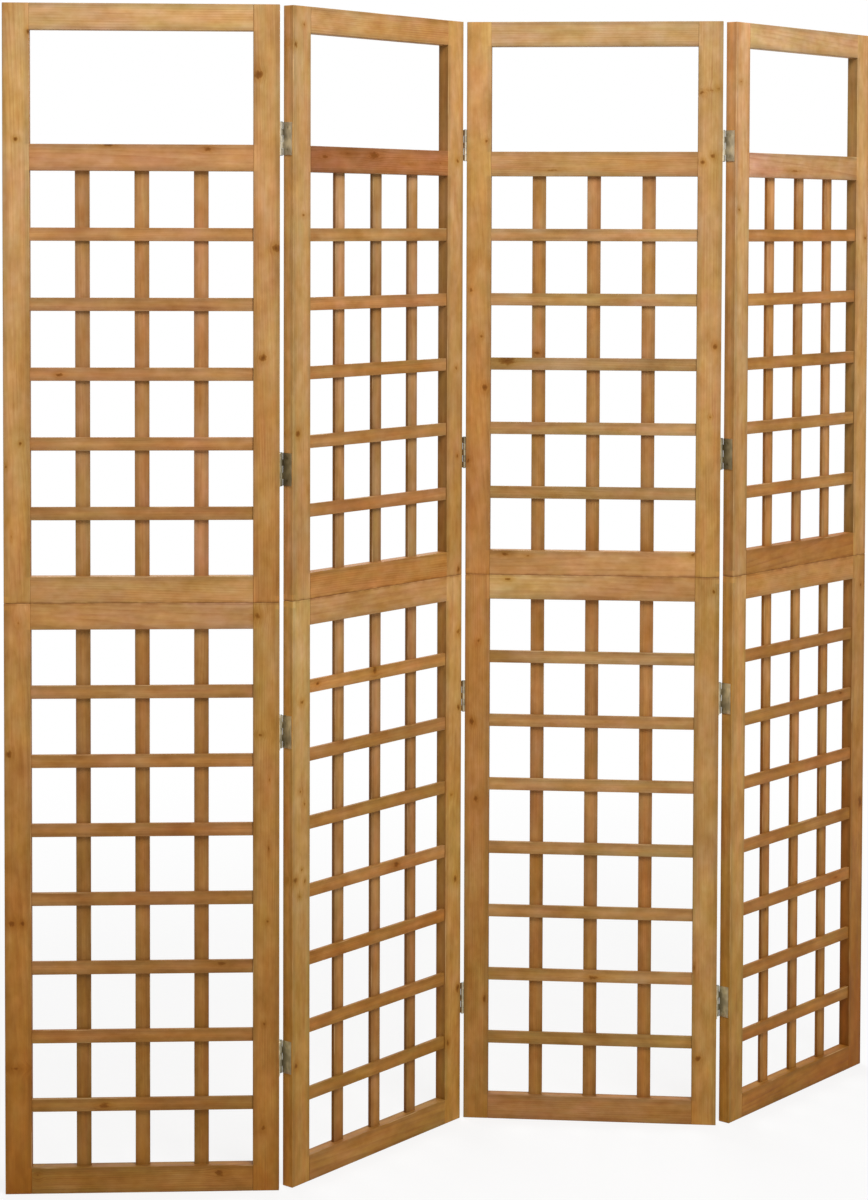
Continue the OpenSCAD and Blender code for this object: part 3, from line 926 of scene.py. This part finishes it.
def zinc_finish(name, number, greys, rough):
    """Plated steel: a dull and a bright grey in patches of about 15 mm, and marks along z.

    The patches are a noise passed through a soft step, and the marks are a noise drawn out along
    the strip, which changes the roughness more than the colour. Each hinge has the painted light
    and shade tint of its height. Painted shade darkens the barrel and the leaf beside it, by the
    distance from the face of the panel where the pin stands: the back or the front, at the panel's
    left and at its right.
    """
    finish = Finish(bpy.data.materials.new(name))
    place = on_panel(finish, number)
    patches = step(cloud(place * ZINC_LUMPS + ZINC_LOT, 1.5, 0.5), 0.34, 0.66)
    marks = cloud(place * ROLLING, 2.0, 0.7)
    colour = blend(patches, *greys)
    x = finish.node("ShaderNodeSeparateXYZ", {}, {0: place}, 0)
    # Painted light and shade on each hinge, by its height.
    for height, tint in HINGE_LIGHT_AND_SHADE:
        away = one(x.also(2) - height, "ABSOLUTE")
        colour = tinted(colour, tint, 1 - step(away, *HINGE_SPAN))
    at_left, at_right = PIN_DEPTHS[number]
    pin_depth = step(x, PANEL_W / 2 - 0.01, PANEL_W / 2 + 0.01) * (at_right - at_left) + at_left
    reach = one(x.also(1) - pin_depth, "ABSOLUTE")
    # Painted shade near the barrel.
    colour = tinted(colour, BARREL_SHADE, 1 - step(reach, 0, BARREL_SHADE_REACH))
    faint = marks * 0.2 + 0.9
    colour = tinted(colour, joined(faint, faint, faint))
    relief = finish.node("ShaderNodeBump", {}, {"Strength": 0.3, "Distance": 0.0001,
                                               "Height": marks + patches})
    surface = finish.node("ShaderNodeBsdfPrincipled", {},
                          {"Base Color": colour, "Metallic": 1.0, "Normal": relief,
                           "Roughness": rough + (marks - 0.5) * 0.3 - patches * 0.08})
    finish.node("ShaderNodeOutputMaterial", {}, {"Surface": surface})
    return finish.owner


for number in PANELS:
    leaves = f"hinge_leaves_{number}"
    dress(leaves, zinc_finish(f"plated_leaf_{number}", number, LEAF_ZINC, 0.50))
    screws = f"hinge_screws_{number}"
    dress(screws, zinc_finish(f"plated_screw_{number}", number, SCREW_ZINC, 0.40))
for pair, number in (("12", 1), ("23", 2), ("34", 3)):
    dress(f"hinge_pins_{pair}", zinc_finish(f"plated_pin_{pair}", number, PIN_ZINC, 0.34))
print("metal pieces finished:", 2 * len(PANELS) + 3)

# %% [markdown]
# ## Floor and light
#
# The photograph is a cut-out on white. A sheet of white paper as wide as a room stands for that:
# near the screen it takes a soft shadow, and further off it turns into plain white, so no horizon
# shows. One large soft lamp hangs high in front, so light falls off towards the feet as in the
# photograph. A weaker one hangs behind, so that the back can be looked at too, and the pale world
# fills the rest.

# %% Floor
def disc(name, radii, sides):
    """A flat disc: a middle, and points at each radius times the cosine and sine of each angle.

    A fan of triangles joins the middle to the first circle, and a band of four-cornered faces
    joins each circle to the next.
    """
    turn = np.linspace(0, 2 * math.pi, sides, endpoint=False)
    reach, angle = np.meshgrid(radii, turn, indexing="ij")
    circles = np.stack([reach * np.cos(angle), reach * np.sin(angle), 0 * angle], -1)
    points = np.vstack([circles.reshape(-1, 3), [[0, 0, 0]]])
    first = np.arange(sides)
    after = (first + 1) % sides
    fan = np.stack([np.full(sides, len(points) - 1), first, after], -1)
    bands = [np.stack([first, first + sides, after + sides, after], -1) + sides * ring
             for ring in range(len(radii) - 1)]
    mesh = bpy.data.meshes.new(name)
    mesh.from_pydata(points.tolist(), [], fan.tolist() + np.vstack(bands).tolist())
    made = bpy.data.objects.new(name, mesh)
    bpy.context.scene.collection.objects.link(made)
    return made


def seen(finish):
    """1 for what the camera sees, also in metal or through glass, and 0 for what gives light."""
    camera = finish.node("ShaderNodeLightPath", output="Is Camera Ray")
    total = camera + camera.also("Is Glossy Ray") + camera.also("Is Transmission Ray")
    return finish.node("ShaderNodeMath", {"operation": "MINIMUM"}, {0: total, 1: 1.0})


PAPER = rgb(0.88, 0.88, 0.88)
NEAR, FAR = 1.2, 3.0
GLOW = 0.78


def paper_finish():
    """White paper that takes a faint shadow near the screen, and turns plain white further off.

    The share of plain white is GLOW up to NEAR from the middle, and rises to 1 at FAR.
    """
    finish = Finish(bpy.data.materials.new("white_paper"))
    away = length(finish.node("ShaderNodeTexCoord", output="Object"))
    share = (step(away, NEAR, FAR) * (1 - GLOW) + GLOW) * seen(finish)
    lit = finish.node("ShaderNodeBsdfDiffuse", {}, {"Color": PAPER})
    white = finish.node("ShaderNodeEmission", {}, {"Color": rgb(1, 1, 1), "Strength": 1.0})
    both = finish.node("ShaderNodeMixShader", {}, {0: share, 1: lit, 2: white})
    finish.node("ShaderNodeOutputMaterial", {}, {"Surface": both})
    return finish.owner


FLOOR_RADII = np.array([0.5, 1.5, 4, 12, 60])
FLOOR_DROP = 0.0003
floor = disc("paper_floor", FLOOR_RADII, 64)
floor.data.transform(Matrix.Translation((0, 0, -FLOOR_DROP)))
floor.data.materials.append(paper_finish())
print("floor faces:", len(floor.data.polygons))

# %% World and lamps
world = Finish(bpy.data.worlds.new("soft_room"))
bpy.context.scene.world = world.owner
SKY_LIGHT = 0.34
strength = SKY_LIGHT + seen(world) * (1 - SKY_LIGHT)
sky = world.node("ShaderNodeBackground", {}, {"Color": rgb(1, 1, 1), "Strength": strength})
world.node("ShaderNodeOutputWorld", {}, {"Surface": sky})


def soft_lamp(name, place, target, size, power):
    """A square lamp of that size and power, which shines from its place to a target."""
    data = bpy.data.lights.new(name, "AREA")
    data.shape = "SQUARE"
    data.size = size
    data.energy = power
    made = bpy.data.objects.new(name, data)
    aim = (Vector(target) - Vector(place)).to_track_quat("-Z", "Y")
    made.matrix_world = Matrix.LocRotScale(Vector(place), aim, None)
    bpy.context.scene.collection.objects.link(made)
    return made


soft_lamp("key_lamp", (-0.1, -2.3, 3.3), (0, 0, 1.2), 1.6, 100)
soft_lamp("back_lamp", (0.5, 2.6, 2.9), (0, 0, 1.0), 2.2, 62)

# %% [markdown]
# ## The camera
#
# The picture was taken from the left, about 4 m away and 1.5 m up, with the camera nearly level
# and its view slid down. A shift does the same: the uprights stay upright, and the feet come
# into view.

# %% Camera
YAW = 24.785
PITCH = -2.2525
ROLL = 0.179
CAMERA_PLACE = (-1.8525, -3.8192, 1.4700)
LENS = 79.83
SLIDE = -0.225
camera_data = bpy.data.cameras.new("camera")
camera_data.lens = LENS
camera_data.sensor_width = 36
camera_data.shift_y = SLIDE
camera_data.clip_end = 100
camera = bpy.data.objects.new("camera", camera_data)
bpy.context.scene.collection.objects.link(camera)
aim = (Matrix.Rotation(math.radians(-YAW), 4, "Z")
       @ Matrix.Rotation(math.radians(90 + PITCH), 4, "X")
       @ Matrix.Rotation(math.radians(ROLL), 4, "Z"))
camera.matrix_world = Matrix.Translation(CAMERA_PLACE) @ aim
bpy.context.scene.camera = camera
bpy.context.scene.view_settings.view_transform = "Standard"
print(f"camera: {camera_data.lens:.2f} mm, turned {YAW:.2f} degrees to the right")
